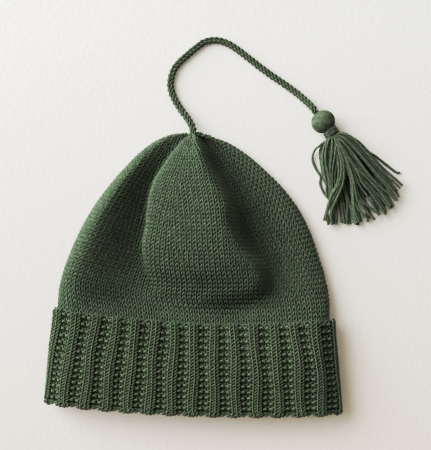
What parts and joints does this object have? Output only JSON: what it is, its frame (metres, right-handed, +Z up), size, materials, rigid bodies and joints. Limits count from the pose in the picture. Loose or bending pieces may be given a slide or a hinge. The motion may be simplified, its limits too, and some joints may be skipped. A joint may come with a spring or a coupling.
{
  "type": "knit cap",
  "caption": "Knitted cap with a turned-up ribbed cuff and a long cord that ends in a tassel, lying on its back, open at the mouth.",
  "frame": {"origin": "on the surface that the cap lies on, under the middle of the box round the crown and the cuff", "axes": "+X to the wearer's side that lies right in the picture, +Y from the mouth to the tip, +Z up from the surface"},
  "size_m": [0.2601, 0.2786, 0.0413],
  "materials": {
    "crown_yarn": "dark green wool yarn in plain knitting, matte",
    "cuff_yarn": "dark green wool yarn in broken ribbing, matte",
    "cord_yarn": "dark green wool yarn worked into a round cord, matte",
    "tassel_yarn": "dark green wool yarn in loose strands, soft sheen"
  },
  "bodies": {
    "root": {"crown": "crown_yarn", "cuff": "cuff_yarn", "cord": "cord_yarn", "tassel_head": "tassel_yarn", "tassel_binding": "tassel_yarn", "tassel_skirt": "tassel_yarn"}
  },
  "joints": []
}
